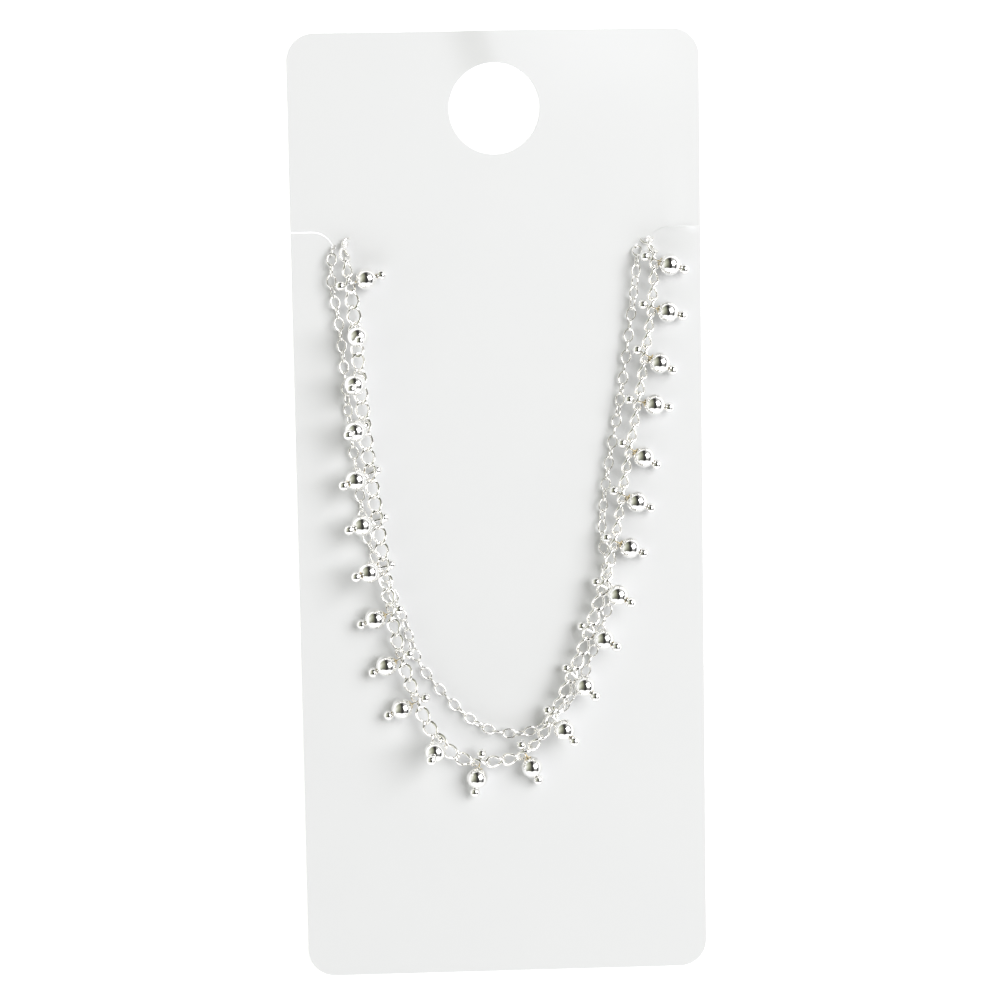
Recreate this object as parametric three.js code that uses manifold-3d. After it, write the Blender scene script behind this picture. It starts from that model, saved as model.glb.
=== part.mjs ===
// Payal anklet on its display card, in millimetres, +Z up.
// The card lies on its back. Its top is towards +Y and +X is to the right.
// Both strands of the anklet drape over the front in a long U, go down through
// the slits at the card's sides and meet at the clasp behind the card.

import * as THREE from 'three';
import { mergeVertices } from 'three/addons/utils/BufferGeometryUtils.js';
import Module from 'manifold-3d';

const wasm = await Module();
wasm.setup();

// Display card
const cardWidth = 60;
const cardHeight = 140;
const cardThickness = 0.5;
const cardCornerRadius = 4;
const hangHoleDiameter = 13.2;
const hangHoleDrop = 11.2;      // from the card's top edge to the hole's centre
const slitDrop = 28.7;          // from the card's top edge to the slits
const slitKerf = 0.35;
const slitCurve = 3.2;          // stretch over which a slit curves in to its mouths
const mainMouth = 3.7;          // round openings at a slit's inner end, one for
const fineMouth = 2.9;          // each strand

// Main strand: twisted oval links
const mainPitch = 2.33;
const mainWidth = 2.15;
const mainWire = 0.38;
const mainTwist = 45;           // degrees that each end of a link is turned
const linkBite = 0.05;          // how deep neighbouring links are worn into each other

// Fine strand
const fineDiameter = 1.45;

// Drops: a drilled bead on a wire pin with a ball at each end
const linksPerDrop = 3;
const beadDiameter = 3.2;
const beadHoleDiameter = 0.9;
const ballDiameter = 1.55;
const pinDiameter = 0.36;
const pinReach = 3.9;           // from the ball inside the strand to the bead's centre
const pinSlide = 0.2;           // play between that ball and the link it passes through
const pinLean = 30;             // degrees between a level pin and its link's opening

// Clasp and the rings that join the strands to it
const claspLength = 12;
const claspDiameter = 2.4;
const eyeReach = 1.7;           // how far each eye stands out of the clasp's barrel
const eyeHeight = 2;
const eyeThickness = 0.7;
const eyeHoleDiameter = 1.2;
const eyeWall = 0.4;            // metal beyond an eye's hole
const claspDrop = 2.6;          // from the slits down to the clasp's middle
const ringRadius = 1.8;
const ringWire = 0.6;
const ringSpread = 50;          // degrees round a ring between the two strands

const restGap = 0.1;            // between pieces that rest on each other
const clearGap = 0.08;          // between pieces that pass through each other
const beadSides = 10;
const linkSides = 5;
const linkSteps = 10;

// Heights, measured from the card's back face
const cardTop = cardThickness;
const inCard = cardThickness / 2;
const fineOnCard = cardTop + restGap + fineDiameter / 2;
const fineOverEdge = fineOnCard + 0.25;
const beadOnCard = cardTop + restGap + beadDiameter / 2;
const mainOnCard = beadOnCard + 0.4;
const mainOverBalls = beadOnCard + 0.1;
const mainOverFine = fineOnCard + fineDiameter / 2 + restGap + mainWidth / 2;
const behindCard = -(restGap + Math.max(claspDiameter, mainWidth) / 2);
const slitY = cardHeight / 2 - slitDrop;
const claspPlace = { x: 0, y: slitY - claspDrop };

// The anklet's route, chosen by hand: x, y up from the slits, and height along
// each strand
const overCard = (points) => points.map(([x, y, height]) => [x, slitY + y, height]);
const ringPlace = claspLength / 2 + eyeReach - eyeWall - eyeHoleDiameter / 2 + ringRadius;
const strandEnd = (side, strand, reach) => {
  const angle = THREE.MathUtils.degToRad(strand * ringSpread / 2);
  return [
    side * (ringPlace + Math.cos(angle) * reach),
    claspPlace.y + Math.sin(angle) * reach,
    behindCard,
  ];
};
const insideRing = ringRadius - ringWire / 2 - clearGap;
const outsideRing = ringRadius + ringWire / 2 + 2 * restGap;
const mainRoute = [
  strandEnd(-1, 1, insideRing),
  ...overCard([
    [-13.5, -1.4, behindCard],
    [-17.5, -1.3, behindCard],
    [-20.7, -1.3, behindCard],
    [-22.1, -1.8, inCard],
    [-22.2, -3.0, mainOverBalls],
    [-21.8, -5.9, mainOverBalls],
    [-21.2, -10.3, mainOverBalls],
    [-20.7, -16.3, mainOverBalls],
    [-20.3, -23.3, mainOverBalls],
    [-19.7, -30.3, mainOverBalls],
    [-18.9, -37.3, mainOnCard],
    [-17.9, -45.3, mainOnCard],
    [-17.3, -50.6, mainOverFine],
    [-16.5, -56.3, mainOnCard],
    [-15.2, -62.7, mainOnCard],
    [-13.2, -68.8, mainOnCard],
    [-10.7, -74.3, mainOnCard],
    [-7.6, -77.6, mainOnCard],
    [-4.6, -78.8, mainOnCard],
    [-0.9, -78.6, mainOnCard],
    [1.9, -78.2, mainOnCard],
    [4.4, -76.2, mainOnCard],
    [6.6, -73.1, mainOverFine],
    [8.9, -68.6, mainOnCard],
    [11.9, -61.6, mainOnCard],
    [14.3, -54.6, mainOnCard],
    [15.5, -50.6, mainOverFine],
    [16.7, -45.9, mainOnCard],
    [18.3, -36.3, mainOnCard],
    [20.2, -26.3, mainOnCard],
    [21.5, -18.3, mainOnCard],
    [22.6, -10.8, mainOnCard],
    [22.9, -5.7, mainOnCard],
    [22.8, -3.1, mainOverBalls],
    [22.4, -1.8, inCard],
    [21.0, -1.3, behindCard],
    [17.5, -1.3, behindCard],
    [13.5, -1.4, behindCard],
  ]),
  strandEnd(1, 1, insideRing),
];
const fineRoute = [
  strandEnd(-1, -1, outsideRing),
  ...overCard([
    [-15.0, -4.1, behindCard],
    [-20.0, -3.7, behindCard],
    [-22.9, -3.3, behindCard],
    [-24.5, -2.6, inCard],
    [-24.9, -4.3, fineOverEdge],
    [-24.6, -7.8, fineOnCard],
    [-23.5, -16.8, fineOnCard],
    [-22.1, -27.3, fineOnCard],
    [-20.9, -37.3, fineOnCard],
    [-19.9, -44.8, fineOnCard],
    [-17.3, -50.9, fineOnCard],
    [-14.7, -57.3, fineOnCard],
    [-12.6, -63.6, fineOnCard],
    [-9.0, -68.5, fineOnCard],
    [-4.6, -72.8, fineOnCard],
    [-0.8, -74.6, fineOnCard],
    [3.6, -74.6, fineOnCard],
    [7.3, -72.5, fineOnCard],
    [10.9, -68.3, fineOnCard],
    [13.7, -61.6, fineOnCard],
    [15.8, -55.2, fineOnCard],
    [15.5, -50.5, fineOnCard],
    [14.9, -43.9, fineOnCard],
    [15.9, -35.3, fineOnCard],
    [17.7, -25.8, fineOnCard],
    [19.3, -14.8, fineOnCard],
    [20.5, -4.5, fineOverEdge],
    [20.6, -2.8, inCard],
    [19.4, -3.3, behindCard],
    [15.0, -4.1, behindCard],
  ]),
  strandEnd(1, -1, outsideRing),
];

// How each drop lies, from the left slit down, round and up to the right slit:
// aim turns it in plan from straight outwards towards the strand's right end, and
// rise lifts it from level, both in degrees, where the bead doesn't lie on the card
const firstDropLink = 8;
const lying = null;
const drops = [
  { aim: -174, rise: lying },
  { aim: 114, rise: 76 },
  { aim: 40, rise: 72 },
  { aim: 16, rise: 62 },
  { aim: 14, rise: 32 },
  { aim: 8, rise: 30 },
  { aim: 8, rise: 32 },
  { aim: 13, rise: lying },
  { aim: 13, rise: lying },
  { aim: 5, rise: lying },
  { aim: 12, rise: 64 },
  { aim: -8, rise: lying },
  { aim: -12, rise: lying },
  { aim: -20, rise: 22 },
  { aim: -20, rise: 24 },
  { aim: -10, rise: 24 },
  { aim: -13, rise: 24 },
  { aim: -13, rise: lying },
  { aim: -18, rise: lying },
  { aim: -22, rise: lying },
  { aim: -3, rise: lying },
  { aim: -22, rise: lying },
  { aim: -10, rise: lying },
  { aim: -20, rise: lying },
];

// Materials
const finish = (color, roughness, metalness) =>
  new THREE.MeshStandardMaterial({ color, roughness, metalness });
const silver = finish(0xe9e6df, 0.16, 1);
const boardWhite = finish(0xeff0f0, 0.7, 0);

// Mesh helpers
const up = new THREE.Vector3(0, 0, 1);
const radians = THREE.MathUtils.degToRad;

// One closed skin: shared corners joined and the flat triangles at poles left out
function merged(geometry) {
  geometry.deleteAttribute('normal');
  geometry.deleteAttribute('uv');
  const shell = mergeVertices(geometry, 1e-4);
  const corners = shell.index.array;
  const kept = [];
  for (let i = 0; i < corners.length; i += 3) {
    const [a, b, c] = corners.slice(i, i + 3);
    if (a !== b && b !== c && c !== a) {
      kept.push(a, b, c);
    }
  }
  shell.setIndex(kept);
  return shell;
}

function solid(geometry) {
  const shell = merged(geometry);
  return new wasm.Manifold(new wasm.Mesh({
    numProp: 3,
    vertProperties: new Float32Array(shell.attributes.position.array),
    triVerts: new Uint32Array(shell.index.array),
  }));
}

function geometryOf(manifold) {
  const mesh = manifold.getMesh();
  const geometry = new THREE.BufferGeometry();
  geometry.setAttribute('position', new THREE.BufferAttribute(mesh.vertProperties, 3));
  geometry.setIndex(new THREE.BufferAttribute(mesh.triVerts, 1));
  geometry.computeVertexNormals();
  return geometry;
}

function piece(name, geometry, material) {
  const mesh = new THREE.Mesh(geometry, material);
  mesh.name = name;
  return mesh;
}

function extruded(shape, depth, curveSegments) {
  return new THREE.ExtrudeGeometry(shape, { depth, bevelEnabled: false, curveSegments });
}

// Where the strands pass through the card at one side, outermost first
function mouths(side) {
  return [[mainRoute, mainMouth], [fineRoute, fineMouth]].map(([route, diameter]) => {
    const [x, y] = route.find((point) => point[2] === inCard && point[0] * side > 0);
    return { x, y, diameter };
  }).sort((a, b) => side * (b.x - a.x));
}

// Display card: rounded plate with a hang hole and two slits that curve in to the mouths
function slit(side, mouth) {
  const edge = side * (cardWidth / 2 + 1);
  const bend = mouth.x + side * slitCurve;
  const half = slitKerf / 2;
  const shape = new THREE.Shape();
  shape.moveTo(edge, slitY + half);
  shape.lineTo(bend, slitY + half);
  shape.quadraticCurveTo(mouth.x + side, slitY + half, mouth.x + half, mouth.y + half);
  shape.lineTo(mouth.x - half, mouth.y - half);
  shape.quadraticCurveTo(mouth.x + side, slitY - half, bend, slitY - half);
  shape.lineTo(edge, slitY - half);
  return shape;
}

function round(path, x, y, diameter) {
  for (const quarter of [0, 1, 2, 3]) {
    path.absarc(x, y, diameter / 2, quarter * Math.PI / 2, (quarter + 1) * Math.PI / 2);
  }
  return path;
}

function displayCard() {
  const x = cardWidth / 2 - cardCornerRadius;
  const y = cardHeight / 2 - cardCornerRadius;
  const outline = new THREE.Shape();
  outline.absarc(x, y, cardCornerRadius, 0, Math.PI / 2);
  outline.absarc(-x, y, cardCornerRadius, Math.PI / 2, Math.PI);
  outline.absarc(-x, -y, cardCornerRadius, Math.PI, 1.5 * Math.PI);
  outline.absarc(x, -y, cardCornerRadius, 1.5 * Math.PI, 2 * Math.PI);
  outline.holes.push(round(new THREE.Path(), 0, cardHeight / 2 - hangHoleDrop, hangHoleDiameter));
  let board = solid(extruded(outline, cardThickness, 3));
  for (const side of [-1, 1]) {
    const openings = mouths(side);
    const cuts = openings.map(({ x, y, diameter }) => round(new THREE.Shape(), x, y, diameter));
    for (const cut of [...cuts, slit(side, openings[0])]) {
      board = board.subtract(solid(extruded(cut, cardThickness + 2, 2).translate(0, 0, -1)));
    }
  }
  return geometryOf(board);
}

// Strands
// A smooth curve whose even steps follow the route's points, which lie closer
// together in the bends
class StrandCurve extends THREE.CatmullRomCurve3 {
  getPointAt(share) {
    return this.getPoint(share);
  }

  getTangentAt(share) {
    return this.getTangent(share);
  }
}

function curveThrough(route) {
  return new StrandCurve(route.map((point) => new THREE.Vector3(...point)), false, 'centripetal');
}

// Joints between links: equal straight steps along the route, from end to end
function walk(points, step) {
  const joints = [points[0]];
  let last = points[0];
  for (let i = 1; i < points.length; i += 1) {
    let from = points[i - 1];
    while (last.distanceTo(points[i]) >= step) {
      let near = 0;
      let far = 1;
      for (let halving = 0; halving < 30; halving += 1) {
        const middle = (near + far) / 2;
        const distance = last.distanceTo(from.clone().lerp(points[i], middle));
        if (distance < step) {
          near = middle;
        } else {
          far = middle;
        }
      }
      last = from.clone().lerp(points[i], near);
      from = last;
      joints.push(last);
    }
  }
  return joints;
}

function jointsAlong(route, pitch) {
  const points = curveThrough(route).getSpacedPoints(2000);
  const end = points[points.length - 1];
  const count = Math.round(walk(points, pitch).length - 1
    + walk(points, pitch).at(-1).distanceTo(end) / pitch);
  let short = pitch * 0.9;
  let long = pitch * 1.1;
  for (let halving = 0; halving < 40; halving += 1) {
    const middle = (short + long) / 2;
    if (walk(points, middle).length - 1 >= count) {
      short = middle;
    } else {
      long = middle;
    }
  }
  return walk(points, short).slice(0, count + 1);
}

// One oval link along X, its ends turned about X: a torus drawn out to an oval,
// with a ridge of its wire on the inside, where the next link bears on it
function oval(pitch) {
  const blunt = Math.cos(Math.PI / linkSteps);
  const halfLength = (pitch + mainWire - linkBite) / 2 / blunt;
  const halfWidth = (mainWidth - mainWire) / 2;
  const ring = new THREE.TorusGeometry(1, mainWire / 2, linkSides, linkSteps);
  const { position, uv } = ring.attributes;
  for (let i = 0; i < position.count; i += 1) {
    const around = (uv.getX(i) + 0.5 / linkSteps) * 2 * Math.PI;
    const section = (uv.getY(i) + 0.5) * 2 * Math.PI;
    const cosine = Math.cos(around);
    const sine = Math.sin(around);
    const swell = (mainWire / 2) * Math.cos(section);
    const slope = Math.hypot(cosine * halfWidth, sine * halfLength);
    const x = cosine * halfLength + swell * cosine * halfWidth / slope;
    const y = sine * halfWidth + swell * sine * halfLength / slope;
    const z = (mainWire / 2) * Math.sin(section);
    const turn = radians(mainTwist) * cosine;
    position.setXYZ(i, x, y * Math.cos(turn) - z * Math.sin(turn),
      y * Math.sin(turn) + z * Math.cos(turn));
  }
  return ring;
}

// Distance from a link's middle at which a ball on the pin is clear of its wire
function clearance(radius, lean) {
  const half = (mainWidth - mainWire) / 2;
  const reach = radius + mainWire / 2 + clearGap;
  return half * Math.sin(lean) + Math.sqrt(reach ** 2 - (half * Math.cos(lean)) ** 2);
}

// A drop's rise, its lean in the link's opening and how far its inner ball stands off
function poseOf({ rise }, height) {
  const level = clearance(ballDiameter / 2, radians(pinLean)) + pinSlide;
  const lifted = rise === lying
    ? Math.asin((beadOnCard - height) / (pinReach - level)) : radians(rise);
  const lean = radians(pinLean) * Math.cos(lifted);
  return { lifted, lean, inner: clearance(ballDiameter / 2, lean) + pinSlide };
}

// Roll of every link about the strand: a link that carries a drop faces it
function rolls(joints) {
  const last = joints.length - 2;
  const stations = drops.map((drop, index) => {
    const link = firstDropLink + index * linksPerDrop;
    const { lifted, lean } = poseOf(drop, (joints[link].z + joints[link + 1].z) / 2);
    const turn = Math.PI / 2 - lean - lifted;
    return { link, roll: Math.abs(drop.aim) > 90 ? Math.PI - turn : turn };
  });
  const ends = [
    { link: 0, roll: Math.PI - radians(mainTwist) },
    ...stations,
    { link: last, roll: radians(mainTwist) },
  ];
  return joints.slice(1).map((unused, link) => {
    const next = ends.find((station) => station.link >= link);
    const before = ends.findLast((station) => station.link <= link);
    const share = (link - before.link) / Math.max(next.link - before.link, 1);
    return THREE.MathUtils.lerp(before.roll, next.roll, share);
  });
}

// Place of every link: X along the strand, Y across it and level, rolled about X
function linkPlaces(joints) {
  return rolls(joints).map((roll, index) => {
    const along = joints[index + 1].clone().sub(joints[index]).normalize();
    const across = new THREE.Vector3().crossVectors(up, along).normalize();
    const above = new THREE.Vector3().crossVectors(along, across);
    const middle = joints[index].clone().add(joints[index + 1]).multiplyScalar(0.5);
    const level = new THREE.Matrix4().makeBasis(along, across, above).setPosition(middle);
    return { along, across, middle, matrix: level.multiply(new THREE.Matrix4().makeRotationX(roll)) };
  });
}

function mainStrand(places, pitch) {
  const links = places.map(({ matrix }) => solid(oval(pitch).applyMatrix4(matrix)));
  return geometryOf(wasm.Manifold.union(links));
}

function fineStrand() {
  const section = new THREE.Shape().absarc(0, 0, fineDiameter / 2, 0, 2 * Math.PI);
  const tube = new THREE.ExtrudeGeometry(section, {
    extrudePath: curveThrough(fineRoute), steps: Math.round((fineRoute.length - 1) * 1.5), curveSegments: 4,
  });
  return merged(tube);
}

// Bead drilled along Z, centred on its hole
function bead() {
  const radius = beadDiameter / 2;
  const hole = beadHoleDiameter / 2;
  const rim = Math.sqrt(radius ** 2 - hole ** 2);
  const profile = [new THREE.Vector2(hole, -rim)];
  for (const latitude of [-45, 0, 45]) {
    const angle = radians(latitude);
    profile.push(new THREE.Vector2(radius * Math.cos(angle), radius * Math.sin(angle)));
  }
  profile.push(new THREE.Vector2(hole, rim), profile[0].clone());
  return merged(new THREE.LatheGeometry(profile, beadSides).rotateX(Math.PI / 2));
}

// Pin along Z from its inner ball's centre, with the outer ball seated in the bead's rim
function pin() {
  const radius = ballDiameter / 2;
  const hole = beadHoleDiameter / 2;
  const rim = Math.sqrt((beadDiameter / 2) ** 2 - hole ** 2);
  const outer = pinReach + rim + Math.sqrt((radius + clearGap) ** 2 - hole ** 2);
  const profile = [new THREE.Vector2(0, -radius)];
  const ring = (centre, latitude) => {
    const angle = radians(latitude);
    return new THREE.Vector2(radius * Math.cos(angle), centre + radius * Math.sin(angle));
  };
  const neck = Math.sqrt(radius ** 2 - (pinDiameter / 2) ** 2);
  profile.push(ring(0, -32), ring(0, 28));
  profile.push(new THREE.Vector2(pinDiameter / 2, neck));
  profile.push(new THREE.Vector2(pinDiameter / 2, outer - neck));
  profile.push(ring(outer, -28), ring(outer, 32));
  profile.push(new THREE.Vector2(0, outer + radius));
  return merged(new THREE.LatheGeometry(profile, beadSides).rotateX(Math.PI / 2));
}

function dropPlace({ along, across, middle }, drop) {
  const { lifted, inner } = poseOf(drop, middle.z);
  const aim = radians(drop.aim);
  const direction = along.clone().setZ(0).normalize().multiplyScalar(Math.sin(aim))
    .addScaledVector(across, -Math.cos(aim))
    .multiplyScalar(Math.cos(lifted))
    .addScaledVector(up, Math.sin(lifted));
  return {
    turn: new THREE.Quaternion().setFromUnitVectors(up, direction),
    ball: middle.clone().addScaledVector(direction, -inner),
    centre: middle.clone().addScaledVector(direction, pinReach - inner),
  };
}

// Clasp: a plain barrel with a flat drilled eye at each end
function clasp() {
  const radius = claspDiameter / 2;
  const half = claspLength / 2;
  const profile = [[0, -half], [radius * 0.75, -half], [radius, -half + 0.5],
    [radius, half - 0.5], [radius * 0.75, half], [0, half]];
  const barrel = new THREE.LatheGeometry(profile.map(([r, z]) => new THREE.Vector2(r, z)), 10);
  let body = solid(barrel.rotateZ(Math.PI / 2));
  for (const side of [-1, 1]) {
    const eye = new THREE.Shape();
    const end = half + eyeReach - eyeHeight / 2;
    eye.moveTo(half - 1, -eyeHeight / 2);
    eye.absarc(end, 0, eyeHeight / 2, -Math.PI / 2, Math.PI / 2);
    eye.lineTo(half - 1, eyeHeight / 2);
    const hole = new THREE.Path();
    hole.absarc(ringPlace - ringRadius, 0, eyeHoleDiameter / 2, 0, 2 * Math.PI);
    eye.holes.push(hole);
    const plate = extruded(eye, eyeThickness, 3).translate(0, 0, -eyeThickness / 2);
    plate.rotateX(Math.PI / 2);
    plate.rotateZ(side < 0 ? Math.PI : 0);
    body = body.add(solid(plate));
  }
  return geometryOf(body);
}

function endRing() {
  return merged(new THREE.TorusGeometry(ringRadius, ringWire / 2, 5, 12));
}

// Assembly, laid down: the card rests on its bottom edge and on the clasp behind it
const part = new THREE.Group();
part.name = 'payal_anklet_on_display_card';
const card = new THREE.Group();
part.add(card);

card.add(piece('display_card', displayCard(), boardWhite));

const joints = jointsAlong(mainRoute, mainPitch);
const places = linkPlaces(joints);
card.add(piece('main_chain', mainStrand(places, joints[0].distanceTo(joints[1])), silver));
card.add(piece('fine_chain', fineStrand(), silver));

drops.forEach((drop, index) => {
  const number = String(index + 1).padStart(2, '0');
  const { turn, ball, centre } = dropPlace(places[firstDropLink + index * linksPerDrop], drop);
  for (const [name, shape, place] of [['drop_pin', pin(), ball], ['drop_bead', bead(), centre]]) {
    const mesh = piece(`${name}_${number}`, shape, silver);
    mesh.position.copy(place);
    mesh.quaternion.copy(turn);
    card.add(mesh);
  }
});

const claspPiece = piece('clasp', clasp(), silver);
claspPiece.position.set(claspPlace.x, claspPlace.y, behindCard);
card.add(claspPiece);
for (const [side, name] of [[-1, 'ring_left'], [1, 'ring_right']]) {
  const ring = piece(name, endRing(), silver);
  ring.position.set(side * ringPlace, claspPlace.y, behindCard);
  card.add(ring);
}

const claspDepth = claspDiameter / 2 - behindCard;
card.rotation.x = Math.asin(claspDepth / (cardHeight / 2 + claspPlace.y));
card.position.z = Math.sin(card.rotation.x) * cardHeight / 2;

export default part;
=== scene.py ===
import math

import bmesh
import bpy
from mathutils import Matrix, Vector


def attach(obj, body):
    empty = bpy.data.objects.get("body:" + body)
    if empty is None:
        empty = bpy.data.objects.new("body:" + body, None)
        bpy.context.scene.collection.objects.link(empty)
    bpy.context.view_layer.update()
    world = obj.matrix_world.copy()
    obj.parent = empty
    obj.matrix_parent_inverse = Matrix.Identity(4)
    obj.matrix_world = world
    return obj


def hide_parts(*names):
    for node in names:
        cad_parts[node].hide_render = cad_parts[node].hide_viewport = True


# Payal anklet on its display card: the looks, in metres, in the CAD model's frame.
# Sizes named here are in millimetres on the card, with heights from its back face, and
# named angles are in degrees, unless a comment says otherwise.

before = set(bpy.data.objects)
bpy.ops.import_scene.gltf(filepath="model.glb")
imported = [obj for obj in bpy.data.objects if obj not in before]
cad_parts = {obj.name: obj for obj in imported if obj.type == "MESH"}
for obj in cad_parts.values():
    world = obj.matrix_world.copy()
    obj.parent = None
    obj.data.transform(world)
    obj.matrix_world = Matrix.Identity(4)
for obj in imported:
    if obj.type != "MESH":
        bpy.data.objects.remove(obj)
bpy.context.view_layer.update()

MM = 0.001

# Sizes that the CAD source has too
CARD_WIDTH = 60
CARD_HEIGHT = 140
CARD_THICKNESS = 0.5
CARD_CORNER = 4
HOLE_DIAMETER = 13.2
HOLE_DROP = 11.2
SLIT_DROP = 28.7
SLIT_CURVE = 3.2
MAIN_PITCH = 2.33
MAIN_WIDTH = 2.15
MAIN_TWIST = 45
FINE_DIAMETER = 1.45
DROPS = 24
FIRST_DROP_LINK = 8
LINKS_PER_DROP = 3
BEAD_DIAMETER = 3.2
BEAD_HOLE = 0.9
BALL_DIAMETER = 1.55
PIN_DIAMETER = 0.36
PIN_REACH = 3.9
PIN_LEAN = 30
CLASP_LENGTH = 12
CLASP_DIAMETER = 2.4
CLASP_DROP = 2.6
EYE_REACH = 1.7
EYE_HEIGHT = 2
EYE_THICKNESS = 0.7
EYE_HOLE = 1.2
EYE_WALL = 0.4
RING_RADIUS = 1.8
RING_WIRE = 0.6
RING_SPREAD = 50
REST_GAP = 0.1
CLEAR_GAP = 0.08

# Main links of the looks alone: squarer and a little stouter than the CAD source's. One
# between drops keeps this share of its roll, on the left side (-1) and on the right (1)
LINK_WIDTH = 2.3
LINK_WIRE = 0.41
LINK_SQUARENESS = 3.4
FREE_LINK_ROLL = {-1: 0.45, 1: 0.85}

# Fine links, where the CAD source has a tube. Each sway is an angle, the radians that it
# goes on by from link to link, and those that it starts at
FINE_PITCH = 1.58
FINE_WIDTH = 1.62
FINE_WIRE = 0.29
FINE_SWAYS = ((22, 0.31, 0), (10, 0.83, 1))

# Slits, by side, and their mouths, all narrower than the CAD source's. A slit reaches its
# mouth from a point this far outside it
SLIT_GAPS = {-1: 0.2, 1: 0.02}
SLIT_PULL = 1
MAIN_MOUTH = 0.9
FINE_MOUTH = 0.7

# The card's crease between its hang hole and its top edge: the face rises to it from the
# left, falls away slowly to the right and is level again below
CREASE_HEIGHT = 1.4
CREASE_SLANT = 0.3
CREASE_RISE = (11.5, 20.5)
CREASE_FALL = (20, 52)
CREASE_ALONG = (54, 68)

# The edge below the right slit, which stands out a little
FLAP_HEIGHT = 0.35
FLAP_REACH = 1.3
FLAP_RISE = (23.7, 27.9)
FLAP_FALL = (27.9, 29.6)

# Lines that the card is cut along before it is bent: how many, and the step between two
CREASE_ROWS = (14, 1.2)
CREASE_RISE_LINES = (18, 0.75)
CREASE_FALL_LINES = (7, 4)
FLAP_ROWS = (6, -FLAP_REACH / 6)
FLAP_LINES = (15, 0.4)

# Edges of the card: rims that turn more than the first angle are rounded, and edges that
# turn more than the second one shade sharp
RIM_ANGLE = 50
RIM_ROUNDING = 0.06
RIM_STEPS = 2
SHARP_ANGLE = 15

# How far a cutter stands out of the card, and distances that count as none
CUT_MARGIN = 1
HAIR = 0.01
SAME_POINT = 0.002
SHORT_EDGE = 0.001
NO_RADIUS = 1e-6
NO_SPAN = 1e-4

# A bead's bore: the bevel at its ends, and how far brass shows round its inner end
BEVEL_WIDTH = 0.12
BEVEL_DEPTH = 0.048
BRASS_WIDTH = 0.06

# The clasp's barrel, as shares of its radius, at distances from its end and from its middle
BARREL_END = ((0, 0), (0.7, 0), (0.92, 0.2), (1, 0.6))
BARREL_GROOVE = ((1, 0.25), (0.94, 0.15))

# Steps of each mesh. Of two, the first go along the piece's outline or wire and the second
# round it
CORNER_STEPS = 12
HOLE_STEPS = 96
MOUTH_STEPS = 24
SLIT_STEPS = 8
BEAD_STEPS = (24, 40)
PIN_STEPS = (14, 24)
BARREL_STEPS = 32
MAIN_LINK_STEPS = (36, 16)
FINE_LINK_STEPS = (28, 10)
EYE_STEPS = (28, 12)
RING_STEPS = (40, 12)

# Heights and places on the card
CARD_TOP = CARD_THICKNESS
IN_CARD = CARD_THICKNESS / 2
FINE_ON_CARD = CARD_TOP + REST_GAP + FINE_DIAMETER / 2
FINE_OVER_EDGE = FINE_ON_CARD + 0.25
BEAD_ON_CARD = CARD_TOP + REST_GAP + BEAD_DIAMETER / 2
MAIN_ON_CARD = BEAD_ON_CARD + 0.4
MAIN_OVER_BALLS = BEAD_ON_CARD + 0.1
MAIN_OVER_FINE = FINE_ON_CARD + FINE_DIAMETER / 2 + REST_GAP + MAIN_WIDTH / 2
BEHIND_CARD = -(REST_GAP + max(CLASP_DIAMETER, MAIN_WIDTH) / 2)
SLIT_Y = CARD_HEIGHT / 2 - SLIT_DROP
CLASP_Y = SLIT_Y - CLASP_DROP
RING_X = CLASP_LENGTH / 2 + EYE_REACH - EYE_HOLE / 2 - EYE_WALL + RING_RADIUS
INSIDE_RING = RING_RADIUS - RING_WIRE / 2 - CLEAR_GAP
OUTSIDE_RING = RING_RADIUS + RING_WIRE / 2 + 2 * REST_GAP

# The card lies on its bottom edge and on the clasp behind it
LEAN = math.asin((CLASP_DIAMETER / 2 - BEHIND_CARD) / (CARD_HEIGHT / 2 + CLASP_Y))
CARD_PLACE = (Matrix.Translation((0, 0, math.sin(LEAN) * CARD_HEIGHT / 2 * MM))
              @ Matrix.Rotation(LEAN, 4, "X") @ Matrix.Scale(MM, 4))


def strand_end(side, strand, reach):
    angle = math.radians(strand * RING_SPREAD / 2)
    return (side * (RING_X + math.cos(angle) * reach), CLASP_Y + math.sin(angle) * reach, BEHIND_CARD)


def over_card(points):
    return [(x, SLIT_Y + y, height) for x, y, height in points]


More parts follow.
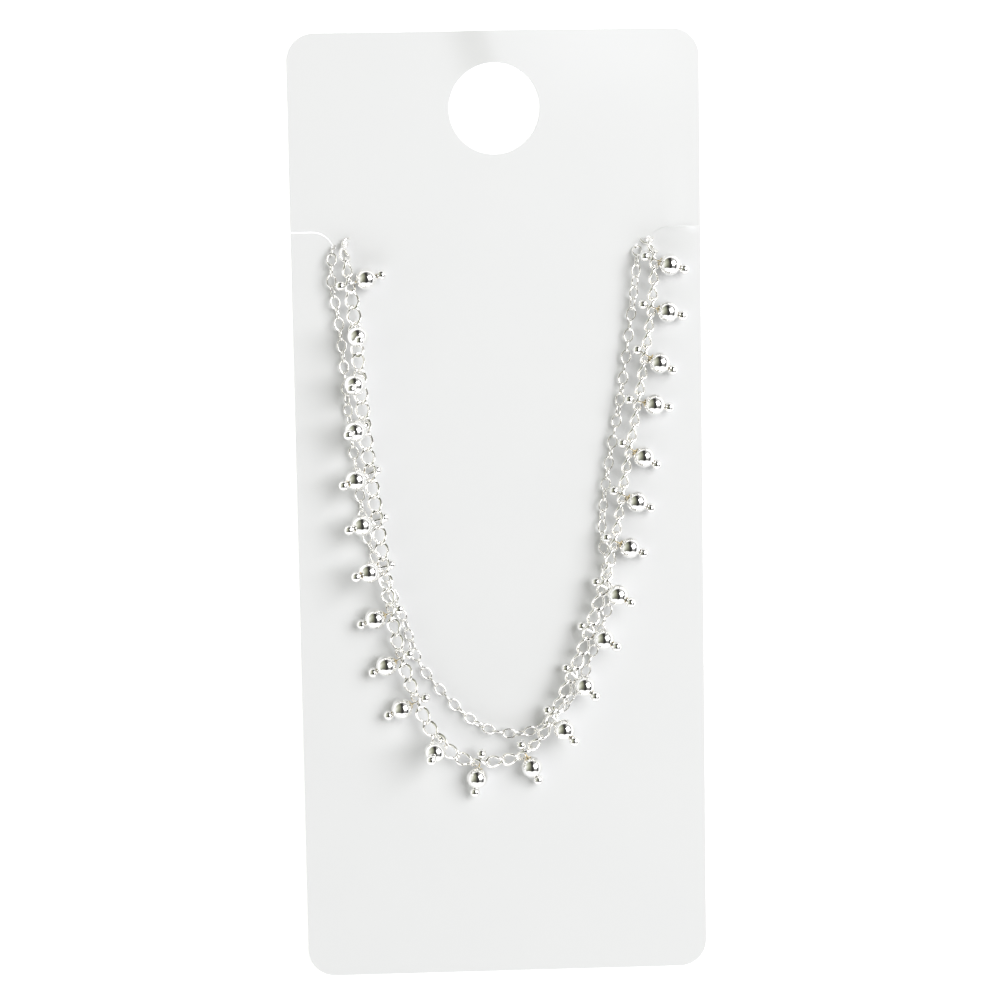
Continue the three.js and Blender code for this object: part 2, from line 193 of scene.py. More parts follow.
# Both strands' routes: x, y up from the slits, and height. They are the CAD source's, but
# the fine strand starts its way down the left side nearer to the main strand
MAIN_ROUTE = [
    strand_end(-1, 1, INSIDE_RING),
    *over_card([
        (-13.5, -1.4, BEHIND_CARD),
        (-17.5, -1.3, BEHIND_CARD),
        (-20.7, -1.3, BEHIND_CARD),
        (-22.1, -1.8, IN_CARD),
        (-22.2, -3.0, MAIN_OVER_BALLS),
        (-21.8, -5.9, MAIN_OVER_BALLS),
        (-21.2, -10.3, MAIN_OVER_BALLS),
        (-20.7, -16.3, MAIN_OVER_BALLS),
        (-20.3, -23.3, MAIN_OVER_BALLS),
        (-19.7, -30.3, MAIN_OVER_BALLS),
        (-18.9, -37.3, MAIN_ON_CARD),
        (-17.9, -45.3, MAIN_ON_CARD),
        (-17.3, -50.6, MAIN_OVER_FINE),
        (-16.5, -56.3, MAIN_ON_CARD),
        (-15.2, -62.7, MAIN_ON_CARD),
        (-13.2, -68.8, MAIN_ON_CARD),
        (-10.7, -74.3, MAIN_ON_CARD),
        (-7.6, -77.6, MAIN_ON_CARD),
        (-4.6, -78.8, MAIN_ON_CARD),
        (-0.9, -78.6, MAIN_ON_CARD),
        (1.9, -78.2, MAIN_ON_CARD),
        (4.4, -76.2, MAIN_ON_CARD),
        (6.6, -73.1, MAIN_OVER_FINE),
        (8.9, -68.6, MAIN_ON_CARD),
        (11.9, -61.6, MAIN_ON_CARD),
        (14.3, -54.6, MAIN_ON_CARD),
        (15.5, -50.6, MAIN_OVER_FINE),
        (16.7, -45.9, MAIN_ON_CARD),
        (18.3, -36.3, MAIN_ON_CARD),
        (20.2, -26.3, MAIN_ON_CARD),
        (21.5, -18.3, MAIN_ON_CARD),
        (22.6, -10.8, MAIN_ON_CARD),
        (22.9, -5.7, MAIN_ON_CARD),
        (22.8, -3.1, MAIN_OVER_BALLS),
        (22.4, -1.8, IN_CARD),
        (21.0, -1.3, BEHIND_CARD),
        (17.5, -1.3, BEHIND_CARD),
        (13.5, -1.4, BEHIND_CARD),
    ]),
    strand_end(1, 1, INSIDE_RING),
]
FINE_ROUTE = [
    strand_end(-1, -1, OUTSIDE_RING),
    *over_card([
        (-15.0, -4.1, BEHIND_CARD),
        (-20.0, -3.7, BEHIND_CARD),
        (-22.7, -3.6, BEHIND_CARD),
        (-23.8, -2.2, IN_CARD),
        (-24.1, -4.0, FINE_OVER_EDGE),
        (-24.2, -7.8, FINE_ON_CARD),
        (-23.5, -11.5, FINE_ON_CARD),
        (-22.9, -16.8, FINE_ON_CARD),
        (-22.1, -27.3, FINE_ON_CARD),
        (-20.9, -37.3, FINE_ON_CARD),
        (-19.9, -44.8, FINE_ON_CARD),
        (-17.3, -50.9, FINE_ON_CARD),
        (-14.7, -57.3, FINE_ON_CARD),
        (-12.6, -63.6, FINE_ON_CARD),
        (-9.0, -68.5, FINE_ON_CARD),
        (-4.6, -72.8, FINE_ON_CARD),
        (-0.8, -74.6, FINE_ON_CARD),
        (3.6, -74.6, FINE_ON_CARD),
        (7.3, -72.5, FINE_ON_CARD),
        (10.9, -68.3, FINE_ON_CARD),
        (13.7, -61.6, FINE_ON_CARD),
        (15.8, -55.2, FINE_ON_CARD),
        (15.5, -50.5, FINE_ON_CARD),
        (14.9, -43.9, FINE_ON_CARD),
        (15.9, -35.3, FINE_ON_CARD),
        (17.7, -25.8, FINE_ON_CARD),
        (19.3, -14.8, FINE_ON_CARD),
        (20.5, -4.5, FINE_OVER_EDGE),
        (20.6, -2.8, IN_CARD),
        (19.4, -3.3, BEHIND_CARD),
        (15.0, -4.1, BEHIND_CARD),
    ]),
    strand_end(1, -1, OUTSIDE_RING),
]


# Mesh helpers
def add_object(name, data):
    made = bpy.data.objects.new(name, data)
    bpy.context.scene.collection.objects.link(made)
    return made


def add_piece(name, verts, faces, material, nodes, slot_name, place=CARD_PLACE):
    mesh = bpy.data.meshes.new(name)
    mesh.from_pydata([place @ Vector(v) for v in verts], [], faces)
    mesh.validate()
    mesh.polygons.foreach_set("use_smooth", [True] * len(mesh.polygons))
    mesh.materials.append(material)
    piece = add_object(name, mesh)
    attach(piece, "root")
    if nodes:
        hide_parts(*nodes)
    return piece


def circle(x, y, diameter, steps):
    return [(x + diameter / 2 * math.cos(2 * math.pi * i / steps),
             y + diameter / 2 * math.sin(2 * math.pi * i / steps)) for i in range(steps)]


def bend(start, pull, end, steps):
    """Points of a curve that leaves the start and reaches the end on lines through the pull."""
    points = []
    for step in range(steps + 1):
        t = step / steps
        points.append(tuple((1 - t) ** 2 * a + 2 * t * (1 - t) * b + t ** 2 * c
                            for a, b, c in zip(start, pull, end)))
    return points


def prism(name, outline, low, high):
    count = len(outline)
    verts = [(x, y, low) for x, y in outline] + [(x, y, high) for x, y in outline]
    faces = [tuple(reversed(range(count))), tuple(range(count, 2 * count))]
    faces += [(i, (i + 1) % count, count + (i + 1) % count, count + i) for i in range(count)]
    mesh = bpy.data.meshes.new(name)
    mesh.from_pydata(verts, [], faces)
    shape = bmesh.new()
    shape.from_mesh(mesh)
    bmesh.ops.recalc_face_normals(shape, faces=shape.faces)
    shape.to_mesh(mesh)
    shape.free()
    return add_object(name, mesh)


def lathe(profile, sides):
    """A profile of (radius, z) turned about Z; points at radius 0 become poles."""
    verts, faces, rings = [], [], []
    for radius, z in profile:
        if radius < NO_RADIUS:
            rings.append([len(verts)])
            verts.append((0, 0, z))
            continue
        rings.append(list(range(len(verts), len(verts) + sides)))
        for j in range(sides):
            angle = 2 * math.pi * j / sides
            verts.append((radius * math.cos(angle), radius * math.sin(angle), z))
    for low, high in zip(rings, rings[1:]):
        for j in range(sides):
            k = (j + 1) % sides
            if len(low) == 1:
                faces.append((low[0], high[k], high[j]))
            elif len(high) == 1:
                faces.append((low[j], low[k], high[0]))
            else:
                faces.append((low[j], low[k], high[k], high[j]))
    return verts, faces


def oval_link(half_length, half_width, wire, mesh_steps, twist=0, squareness=2):
    """One wire oval along X, its ends turned about X by the twist."""
    steps, sides = mesh_steps
    verts, faces = [], []
    for i in range(steps):
        around = 2 * math.pi * i / steps
        cosine, sine = math.cos(around), math.sin(around)
        slope = math.hypot(cosine * half_width, sine * half_length)
        turn = math.radians(twist) * cosine
        for j in range(sides):
            section = 2 * math.pi * j / sides
            reach = wire / 2 / (abs(math.cos(section)) ** squareness
                                + abs(math.sin(section)) ** squareness) ** (1 / squareness)
            swell = reach * math.cos(section)
            x = cosine * half_length + swell * cosine * half_width / slope
            y = sine * half_width + swell * sine * half_length / slope
            z = reach * math.sin(section)
            verts.append(Vector((x, y * math.cos(turn) - z * math.sin(turn),
                                 y * math.sin(turn) + z * math.cos(turn))))
            here, there = i * sides, (i + 1) % steps * sides
            k = (j + 1) % sides
            faces.append((here + j, here + k, there + k, there + j))
    return verts, faces


# The strands' curves, as the CAD source draws them. The pitch that fits is sought between
# the last two, as shares of the one asked for
CURVE_STEPS = 2000
STEP_HALVINGS = 30
PITCH_HALVINGS = 40
LEAST_PITCH = 0.9
MOST_PITCH = 1.1


def spline(route, steps):
    """A centripetal curve through the route's points."""
    points = [Vector(p) for p in route]
    points = [points[0] * 2 - points[1], *points, points[-1] * 2 - points[-2]]
    curve = []
    for step in range(steps + 1):
        at = step / steps * (len(route) - 1)
        k = min(int(at), len(route) - 2)
        t = at - k
        p0, p1, p2, p3 = points[k:k + 4]
        d0, d1, d2 = (max((b - a).length_squared ** 0.25, NO_SPAN)
                      for a, b in ((p0, p1), (p1, p2), (p2, p3)))
        m1 = ((p1 - p0) / d0 - (p2 - p0) / (d0 + d1) + (p2 - p1) / d1) * d1
        m2 = ((p2 - p1) / d1 - (p3 - p1) / (d1 + d2) + (p3 - p2) / d2) * d1
        curve.append(p1 + m1 * t + (-3 * p1 + 3 * p2 - 2 * m1 - m2) * t ** 2
                     + (2 * p1 - 2 * p2 + m1 + m2) * t ** 3)
    return curve


def walk(points, step):
    """Joints along the points, each a straight step from the last."""
    joints = [points[0]]
    last = points[0]
    for start, end in zip(points, points[1:]):
        begin = start
        while (end - last).length >= step:
            near, far = 0.0, 1.0
            for _ in range(STEP_HALVINGS):
                middle = (near + far) / 2
                if (begin.lerp(end, middle) - last).length < step:
                    near = middle
                else:
                    far = middle
            last = begin.lerp(end, near)
            begin = last
            joints.append(last)
    return joints


def joints_along(route, pitch):
    """Joints of whole links that fill the route, at about this pitch."""
    points = spline(route, CURVE_STEPS)
    loose = walk(points, pitch)
    count = round(len(loose) - 1 + (points[-1] - loose[-1]).length / pitch)
    short, long = pitch * LEAST_PITCH, pitch * MOST_PITCH
    for _ in range(PITCH_HALVINGS):
        middle = (short + long) / 2
        if len(walk(points, middle)) - 1 >= count:
            short = middle
        else:
            long = middle
    return walk(points, short)[:count + 1]


def link_frame(start, end, roll):
    """Place of a link: X along the strand, Y across it and level, rolled about X."""
    along = (end - start).normalized()
    across = Vector((0, 0, 1)).cross(along).normalized()
    above = along.cross(across)
    basis = Matrix((along, across, above)).transposed().to_4x4()
    return Matrix.Translation((start + end) / 2) @ basis @ Matrix.Rotation(roll, 4, "X")


def chain(joints, rolls, link):
    """A link between each two joints, rolled about its own line."""
    link_verts, link_faces = link
    verts, faces = [], []
    for start, end, roll in zip(joints, joints[1:], rolls):
        place = link_frame(start, end, roll)
        first = len(verts)
        verts += [place @ v for v in link_verts]
        faces += [tuple(first + k for k in face) for face in link_faces]
    return verts, faces


# Materials. Noise scales are per metre, and the depth of relief is in metres
def fill(tree, node, inputs):
    """Give each input its value, or link it from another node's output."""
    for name, source in inputs.items():
        if isinstance(source, bpy.types.NodeSocket):
            tree.links.new(source, node.inputs[name])
        else:
            node.inputs[name].default_value = source


def add_node(tree, kind, inputs):
    node = tree.nodes.new(f"ShaderNode{kind}")
    fill(tree, node, inputs)
    return node


def noise(tree, place, scale, detail):
    return add_node(tree, "TexNoise", {"Vector": place, "Scale": scale, "Detail": detail})


def relief(tree, height, strength, distance):
    bump = add_node(tree, "Bump", {"Height": height, "Strength": strength, "Distance": distance})
    return bump.outputs["Normal"]


def shader(name):
    """A new material's tree, its shader and the place on the object."""
    material = bpy.data.materials.new(name)
    material.use_nodes = True
    tree = material.node_tree
    place = tree.nodes.new("ShaderNodeTexCoord").outputs["Object"]
    return material, tree, tree.nodes["Principled BSDF"], place


def metal(name, color, roughness, ripple):
    material, tree, base, place = shader(name)
    waves = noise(tree, place, scale=900, detail=2).outputs["Fac"]
    fill(tree, base, {"Base Color": (*color, 1), "Metallic": 1, "Roughness": roughness,
                      "Normal": relief(tree, waves, strength=ripple, distance=0.00002)})
    return material


def coated_card():
    material, tree, base, place = shader("coated_card")
    mottle = noise(tree, place, scale=60, detail=4).outputs["Fac"]
    tint = add_node(tree, "MixRGB", {"Fac": mottle, "Color1": (0.842, 0.848, 0.862, 1),
                                     "Color2": (0.862, 0.866, 0.878, 1)})
    fibre = noise(tree, place, scale=2500, detail=3).outputs["Fac"]
    fill(tree, base, {"Base Color": tint.outputs["Color"], "Roughness": 0.42, "Specular IOR Level": 0.35,
                      "Normal": relief(tree, fibre, strength=0.06, distance=0.00003)})
    return material


silver = metal("polished_silver", (0.98, 0.975, 0.96), roughness=0.06, ripple=0.1)
silver_wire = metal("silver_wire", (0.98, 0.97, 0.945), roughness=0.09, ripple=0.15)
brass = metal("brass_core", (0.86, 0.74, 0.5), roughness=0.25, ripple=0.2)
board = coated_card()


# Camera, at the photo's angle, in metres
CAMERA_PLACE = Vector((-0.01713, 0.03886, 0.41085))
CAMERA_AIM = Vector((-0.00014, 0.00152, 0.003))
CAMERA_ROLL = -1.02
CAMERA_LENS = 100
CAMERA_CLIP = (0.01, 10)


def photo_camera():
    data = bpy.data.cameras.new("camera")
    data.lens = CAMERA_LENS
    data.clip_start, data.clip_end = CAMERA_CLIP
    camera = add_object("camera", data)
    look = (CAMERA_AIM - CAMERA_PLACE).normalized()
    right = look.cross(Vector((0, 1, 0))).normalized()
    level = Matrix((right, right.cross(look), -look)).transposed().to_4x4()
    camera.location = CAMERA_PLACE
    camera.rotation_mode = "QUATERNION"
    camera.rotation_quaternion = (level @ Matrix.Rotation(math.radians(CAMERA_ROLL), 4, "Z")).to_quaternion()
    bpy.context.scene.camera = camera


photo_camera()


# Card
def card_outline():
    x, y = CARD_WIDTH / 2 - CARD_CORNER, CARD_HEIGHT / 2 - CARD_CORNER
    outline = []
    for sx, sy, start in ((1, 1, 0), (-1, 1, 90), (-1, -1, 180), (1, -1, 270)):
        for step in range(CORNER_STEPS + 1):
            angle = math.radians(start + step * 90 / CORNER_STEPS)
            outline.append((sx * x + CARD_CORNER * math.cos(angle), sy * y + CARD_CORNER * math.sin(angle)))
    return outline


def in_card_point(route, side):
    """Where a strand goes through the card on this side."""
    return next((x, y) for x, y, z in route if z == IN_CARD and x * side > 0)


def slit_cuts(side):
    """The slit that curves in from the card's side, and a mouth round each strand."""
    mouths = [(in_card_point(MAIN_ROUTE, side), MAIN_MOUTH), (in_card_point(FINE_ROUTE, side), FINE_MOUTH)]
    mouths.sort(key=lambda mouth: -side * mouth[0][0])
    end_x, end_y = mouths[0][0]
    middle = [(side * (CARD_WIDTH / 2 + CUT_MARGIN), SLIT_Y),
              *bend((end_x + side * SLIT_CURVE, SLIT_Y), (end_x + side * SLIT_PULL, SLIT_Y),
                    (end_x, end_y), SLIT_STEPS)]
    half = SLIT_GAPS[side] / 2
    strip = [(x, y + half) for x, y in middle] + [(x, y - half) for x, y in reversed(middle)]
    return [strip, *(circle(x, y, diameter, MOUTH_STEPS) for (x, y), diameter in mouths)]


def cut_through(plate, outline):
    cutter = prism("cutter", outline, -CUT_MARGIN, CARD_THICKNESS + CUT_MARGIN)
    knife = plate.modifiers.new("cut", "BOOLEAN")
    knife.operation = "DIFFERENCE"
    knife.solver = "EXACT"
    knife.object = cutter
    bpy.context.view_layer.objects.active = plate
    bpy.ops.object.modifier_apply(modifier=knife.name)
    bpy.data.objects.remove(cutter)


def round_rims(shape):
    """Round the card's outline and hang hole; the slits are cut sharp."""
    def in_slit(co):
        return abs(co.y - SLIT_Y) < SLIT_CURVE and abs(co.x) < CARD_WIDTH / 2 - HAIR

    rims = [e for e in shape.edges
            if e.calc_face_angle(0) > math.radians(RIM_ANGLE)
            and abs(e.verts[0].co.z - e.verts[1].co.z) < HAIR
            and not any(in_slit(v.co) for v in e.verts)]
    bmesh.ops.bevel(shape, geom=rims, offset=RIM_ROUNDING, segments=RIM_STEPS, profile=0.5, affect="EDGES")


def smooth_step(low, high, value):
    t = min(max((value - low) / (high - low), 0), 1)
    return t * t * (3 - 2 * t)


def crease_lift(x, y):
    across = x + CREASE_SLANT * y
    rise = smooth_step(*CREASE_RISE, across) ** 2
    fall = 1 - smooth_step(*CREASE_FALL, across)
    return CREASE_HEIGHT * rise * fall * smooth_step(*CREASE_ALONG, y)


def flap_lift(x, y):
    """How far the edge below the right slit stands out over the one above it."""
    if y > SLIT_Y:
        return 0
    along = smooth_step(*FLAP_RISE, x) * (1 - smooth_step(*FLAP_FALL, x))
    return FLAP_HEIGHT * along * smooth_step(SLIT_Y - FLAP_REACH, SLIT_Y, y)


def rows(start, spacing):
    """Level lines from y = start, each as a point and a direction across the line."""
    count, step = spacing
    return [((0, start + i * step, 0), (0, 1, 0)) for i in range(count)]


def columns(start, spacing, slant=0):
    """Upright lines from x = start, each as a point and a direction across the line."""
    count, step = spacing
    return [((start + i * step, 0, 0), (1, slant, 0)) for i in range(count)]


def cut_finely(shape, lines, low, high):
    """Cut the faces in a range of y along the lines."""
    for point, across in lines:
        near = [f for f in shape.faces
                if max(v.co.y for v in f.verts) > low and min(v.co.y for v in f.verts) < high]
        edges = {e for f in near for e in f.edges}
        corners = {v for f in near for v in f.verts}
        bmesh.ops.bisect_plane(shape, geom=[*near, *edges, *corners], plane_co=point, plane_no=across)


def fold(shape):
    """Cut the card finely where it isn't flat, and bend it there."""
    bmesh.ops.triangulate(shape, faces=shape.faces)
    crease_lines = [*rows(CREASE_ALONG[0], CREASE_ROWS),
                    *columns(CREASE_RISE[0], CREASE_RISE_LINES, CREASE_SLANT),
                    *columns(CREASE_FALL[0] + CREASE_FALL_LINES[1], CREASE_FALL_LINES, CREASE_SLANT)]
    cut_finely(shape, crease_lines, CREASE_ALONG[0], CARD_HEIGHT)
    flap_lines = [*rows(SLIT_Y + FLAP_ROWS[1], FLAP_ROWS), *columns(FLAP_RISE[0], FLAP_LINES)]
    cut_finely(shape, flap_lines, SLIT_Y - FLAP_REACH, SLIT_Y)
    for v in shape.verts:
        v.co.z += crease_lift(v.co.x, v.co.y) + flap_lift(v.co.x, v.co.y)
    bmesh.ops.remove_doubles(shape, verts=shape.verts, dist=SAME_POINT)
    bmesh.ops.dissolve_degenerate(shape, edges=shape.edges, dist=SHORT_EDGE)
    shape.verts.index_update()


def card_piece():
    plate = prism("card_blank", card_outline(), 0, CARD_THICKNESS)
    hole_y = CARD_HEIGHT / 2 - HOLE_DROP
    for cut in (circle(0, hole_y, HOLE_DIAMETER, HOLE_STEPS), *slit_cuts(-1), *slit_cuts(1)):
        cut_through(plate, cut)
    shape = bmesh.new()
    shape.from_mesh(plate.data)
    bpy.data.objects.remove(plate)
    round_rims(shape)
    fold(shape)
    verts = [v.co.copy() for v in shape.verts]
    faces = [tuple(v.index for v in f.verts) for f in shape.faces]
    shape.free()
    piece = add_piece("card_board", verts, faces, board, ["display_card"], "board_white")
    piece.data.set_sharp_from_angle(angle=math.radians(SHARP_ANGLE))


card_piece()


# Drops: pins and beads, where the CAD model has them
def drop_axis(number):
    """The centre of the drop's bead, and the way that its pin points outwards."""
    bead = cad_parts[f"drop_bead_{number:02d}"].data.vertices
    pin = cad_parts[f"drop_pin_{number:02d}"].data.vertices
    total = Vector()
    for v in bead:
        total += v.co
    centre = total / len(bead)
    inner_end = max((v.co for v in pin), key=lambda co: (co - centre).length)
    return centre, (centre - inner_end).normalized()


def ball_profile(radius, low, high, steps):
    """Points of a ball between two latitudes."""
    return [(radius * math.cos(math.radians(low + (high - low) * i / steps)),
             radius * math.sin(math.radians(low + (high - low) * i / steps))) for i in range(steps + 1)]


def bead_profile():
    radius, hole = BEAD_DIAMETER / 2, BEAD_HOLE / 2
    top = math.degrees(math.acos((hole + BEVEL_WIDTH) / radius))
    arc = ball_profile(radius, -top, top, BEAD_STEPS[0])
    rim = arc[-1][1]
    return [*arc, (hole, rim - BEVEL_DEPTH), (hole, -rim + BEVEL_DEPTH), arc[0]]


def pin_profile():
    """From the ball inside the strand along the wire to the ball outside the bead."""
    radius, wire, hole = BALL_DIAMETER / 2, PIN_DIAMETER / 2, BEAD_HOLE / 2
    bead_end = math.sqrt((BEAD_DIAMETER / 2) ** 2 - hole ** 2)
    outer = PIN_REACH + bead_end + math.sqrt((radius + CLEAR_GAP) ** 2 - hole ** 2)
    neck = math.degrees(math.acos(wire / radius))
    return [*ball_profile(radius, -90, neck, PIN_STEPS[0]),
            *((r, z + outer) for r, z in ball_profile(radius, -neck, 90, PIN_STEPS[0]))]


def drop_pieces(number):
    """A drop's bead, with brass at the inner end of its bore, and its pin."""
    centre, axis = drop_axis(number)
    turn = axis.to_track_quat("Z", "Y").to_matrix().to_4x4() @ Matrix.Scale(MM, 4)
    bead_place = Matrix.Translation(centre) @ turn
    pin_place = Matrix.Translation(centre - axis * PIN_REACH * MM) @ turn
    bead = add_piece(f"bead_{number:02d}", *lathe(bead_profile(), BEAD_STEPS[1]), silver,
                     [f"drop_bead_{number:02d}"], "silver", bead_place)
    bead.data.materials.append(brass)
    for polygon in bead.data.polygons:
        local = bead_place.inverted() @ polygon.center
        bare = local.z < 0 and math.hypot(local.x, local.y) < BEAD_HOLE / 2 + BRASS_WIDTH
        polygon.material_index = 1 if bare else 0
    add_piece(f"pin_{number:02d}", *lathe(pin_profile(), PIN_STEPS[1]), silver,
              [f"drop_pin_{number:02d}"], "silver", pin_place)


for number in range(1, DROPS + 1):
    drop_pieces(number)


# Main strand: twisted links at the CAD model's places
def drop_station(number, joints):
    """The link that carries a drop, and the roll that makes it face the drop on its side."""
    link = FIRST_DROP_LINK + (number - 1) * LINKS_PER_DROP
    way = CARD_PLACE.inverted().to_3x3() @ drop_axis(number)[1]
    rise = math.asin(way.normalized().z)
    turn = math.pi / 2 - math.radians(PIN_LEAN) * math.cos(rise) - rise
    across = Vector((0, 0, 1)).cross(joints[link + 1] - joints[link])
    return link, math.pi - turn if way.xy.dot(across.xy) > 0 else turn


def main_rolls(joints):
    """A link that carries a drop faces it; those between turn evenly, and lie flatter."""
    last = len(joints) - 2
    stations = [(0, math.pi - math.radians(MAIN_TWIST)),
                *(drop_station(number, joints) for number in range(1, DROPS + 1)),
                (last, math.radians(MAIN_TWIST))]
    first_drop, last_drop = stations[1][0], stations[-2][0]
    rolls = []
    for link in range(last + 1):
        before = [s for s in stations if s[0] <= link][-1]
        after = next(s for s in stations if s[0] >= link)
        share = (link - before[0]) / max(after[0] - before[0], 1)
        roll = before[1] + (after[1] - before[1]) * share
        if share > 0 and first_drop < link < last_drop:
            flat = math.pi if roll > math.pi / 2 else 0
            side = 1 if joints[link].x > 0 else -1
            roll = flat + (roll - flat) * FREE_LINK_ROLL[side]
        rolls.append(roll)
    return rolls


def main_strand():
    joints = joints_along(MAIN_ROUTE, MAIN_PITCH)
    pitch = (joints[1] - joints[0]).length
    link = oval_link((pitch + LINK_WIRE) / 2, (LINK_WIDTH - LINK_WIRE) / 2, LINK_WIRE,
                     MAIN_LINK_STEPS, MAIN_TWIST, LINK_SQUARENESS)
    add_piece("main_links", *chain(joints, main_rolls(joints), link), silver_wire, ["main_chain"], "silver")


main_strand()


# Fine strand
def fine_roll(number):
    """Cable links lie flat and stand on edge by turns, and sway slowly."""
    roll = 90 * (number % 2)
    for angle, pace, start in FINE_SWAYS:
        roll += angle * math.sin(number * pace + start)
    return math.radians(roll)


def fine_strand():
    joints = joints_along(FINE_ROUTE, FINE_PITCH)
    pitch = (joints[1] - joints[0]).length
    link = oval_link((pitch + FINE_WIRE) / 2, (FINE_WIDTH - FINE_WIRE) / 2, FINE_WIRE, FINE_LINK_STEPS)
    rolls = [fine_roll(number) for number in range(len(joints) - 1)]
    add_piece("fine_links", *chain(joints, rolls, link), silver_wire, ["fine_chain"], "silver")


fine_strand()


# Clasp and end rings, hidden behind the card
CLASP_PLACE = CARD_PLACE @ Matrix.Translation((0, CLASP_Y, BEHIND_CARD))


def barrel_piece():
    radius, half = CLASP_DIAMETER / 2, CLASP_LENGTH / 2
    outline = [(radius * share, half - z) for share, z in BARREL_END]
    outline += [(radius * share, z) for share, z in BARREL_GROOVE]
    profile = [(r, -z) for r, z in outline] + outline[::-1]
    add_piece("clasp_barrel", *lathe(profile, BARREL_STEPS), silver, ["clasp"], "silver",
              CLASP_PLACE @ Matrix.Rotation(math.pi / 2, 4, "Y"))


def eye_piece(side, name):
    """A ring of the eye's width, pressed to its thickness and stood upright."""
    radius, wire = (EYE_HEIGHT + EYE_HOLE) / 4, (EYE_HEIGHT - EYE_HOLE) / 2
    verts, faces = oval_link(radius, radius, wire, EYE_STEPS)
    verts = [Vector((v.x, v.y, v.z * EYE_THICKNESS / wire)) for v in verts]
    x = side * (CLASP_LENGTH / 2 + EYE_REACH - EYE_HEIGHT / 2)
    add_piece(f"clasp_eye_{name}", verts, faces, silver, [], "silver",
              CLASP_PLACE @ Matrix.Translation((x, 0, 0)) @ Matrix.Rotation(math.pi / 2, 4, "X"))


def ring_piece(side, name):
    ring = oval_link(RING_RADIUS, RING_RADIUS, RING_WIRE, RING_STEPS)
    add_piece(f"end_ring_{name}", *ring, silver, [f"ring_{name}"], "silver",
              CLASP_PLACE @ Matrix.Translation((side * RING_X, 0, 0)))


barrel_piece()
for side, name in ((-1, "left"), (1, "right")):
    eye_piece(side, name)
    ring_piece(side, name)


# Floor, room and light: places and sizes are in metres
FLOOR_REACH = 2
KEY_PLACE = Vector((1.2, 0.52, 1.52))
KEY_SIZE = 1.52
KEY_POWER = 34

# What the metal mirrors from left to right, as shares of the way and colours
ROOM_LEFT = (1.0, 1.0, 0.95, 1)
ROOM_RIGHT = (0.9, 0.9, 0.9, 1)
ROOM_BETWEEN = (
    (0.1, (0.62, 0.63, 0.53, 1)),
    (0.28, (0.3, 0.31, 0.23, 1)),
    (0.36, (0.16, 0.16, 0.13, 1)),
    (0.42, (0.05, 0.049, 0.045, 1)),
    (0.61, (0.05, 0.049, 0.047, 1)),
    (0.66, (0.42, 0.42, 0.41, 1)),
    (0.84, (0.55, 0.55, 0.54, 1)),
    (0.89, (0.05, 0.05, 0.05, 1)),
    (0.97, (0.1, 0.1, 0.1, 1)),
)
ROOM_FOOT = (1.7, 1.7, 1.7, 1)
ROOM_WALL = (1, 1, 1, 1)

# Where the room's light changes: the part of a direction that points up the card, or for
# the wall straight up, as the change begins and ends. The drift bends all but the wall's
SHADE_CHANGE = (-0.55, -0.15)
SHADE_LEAST = 0.3
FOOT_CHANGE = (-0.5, -0.68)
WALL_CHANGE = (0.27, 0.19)
ROOM_DRIFT = 0.22


def floor_piece():
    material = bpy.data.materials.new("pale_floor")
    material.use_nodes = True
    tree = material.node_tree
    fill(tree, tree.nodes["Principled BSDF"], {
        "Base Color": (0.93, 0.93, 0.93, 1), "Roughness": 0.9, "Specular IOR Level": 0.1,
        "Emission Color": (1, 1, 1, 1), "Emission Strength": 0.5})
    corners = [(x * FLOOR_REACH, y * FLOOR_REACH, 0) for x, y in ((-1, -1), (1, -1), (1, 1), (-1, 1))]
    mesh = bpy.data.meshes.new("floor")
    mesh.from_pydata(corners, [], [(0, 1, 2, 3)])
    mesh.materials.append(material)
    add_object("floor", mesh)


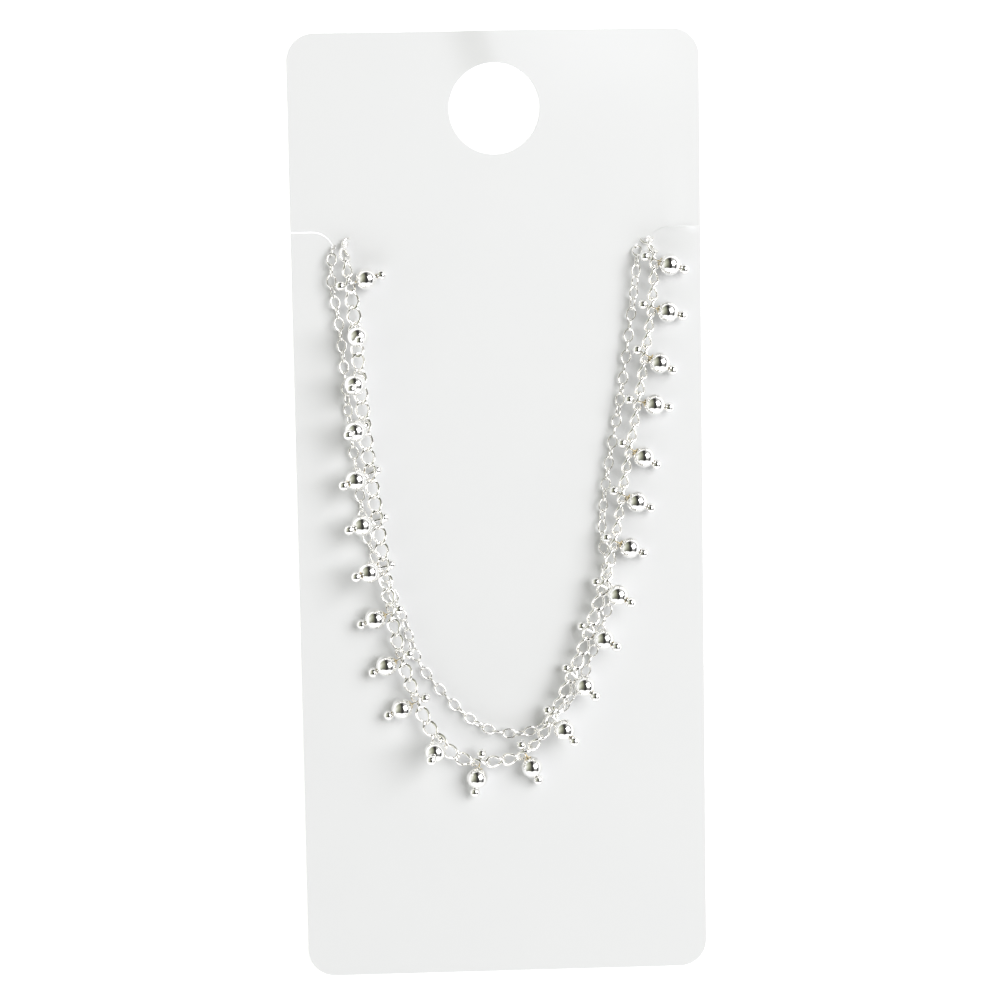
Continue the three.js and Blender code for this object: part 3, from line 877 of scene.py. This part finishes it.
def share_between(tree, value, start, end, least=0):
    """A value's share of the way from start to end, from the least share to 1."""
    share = add_node(tree, "MapRange", {"Value": value, "From Min": start, "From Max": end, "To Min": least})
    return share.outputs["Result"]


def mix(tree, share, first, second, blend="MIX"):
    mixed = add_node(tree, "MixRGB", {"Fac": share, "Color1": first, "Color2": second})
    mixed.blend_type = blend
    return mixed.outputs["Color"]


def split(tree, vector):
    return add_node(tree, "SeparateXYZ", {"Vector": vector}).outputs


def studio_world():
    """Room light: olive grey to the left, dark down the middle, and white from the card's
    foot side and low down all round."""
    world = bpy.data.worlds.new("studio")
    bpy.context.scene.world = world
    world.use_nodes = True
    tree = world.node_tree
    place = tree.nodes.new("ShaderNodeTexCoord").outputs["Generated"]
    drift = noise(tree, place, scale=1.6, detail=1).outputs["Color"]
    bent = split(tree, mix(tree, ROOM_DRIFT, place, drift, "LINEAR_LIGHT"))

    room = add_node(tree, "ValToRGB", {"Fac": share_between(tree, bent["X"], -1, 1)})
    stops = room.color_ramp.elements
    stops[0].color = ROOM_LEFT
    stops[1].color = ROOM_RIGHT
    for at, color in ROOM_BETWEEN:
        stops.new(at).color = color

    shade = share_between(tree, bent["Y"], *SHADE_CHANGE, SHADE_LEAST)
    shaded = mix(tree, 1, room.outputs["Color"], shade, "MULTIPLY")
    with_foot = mix(tree, share_between(tree, bent["Y"], *FOOT_CHANGE), shaded, ROOM_FOOT)
    low_down = share_between(tree, split(tree, place)["Z"], *WALL_CHANGE)
    fill(tree, tree.nodes["Background"], {"Color": mix(tree, low_down, with_foot, ROOM_WALL),
                                          "Strength": 1.0})


def key_light():
    data = bpy.data.lights.new("key", "AREA")
    data.shape = "RECTANGLE"
    data.size = KEY_SIZE
    data.size_y = KEY_SIZE
    data.energy = KEY_POWER
    light = add_object("key", data)
    light.location = KEY_PLACE
    light.rotation_mode = "QUATERNION"
    light.rotation_quaternion = KEY_PLACE.to_track_quat("Z", "Y")


floor_piece()
studio_world()
key_light()
bpy.context.scene.view_settings.view_transform = "Standard"
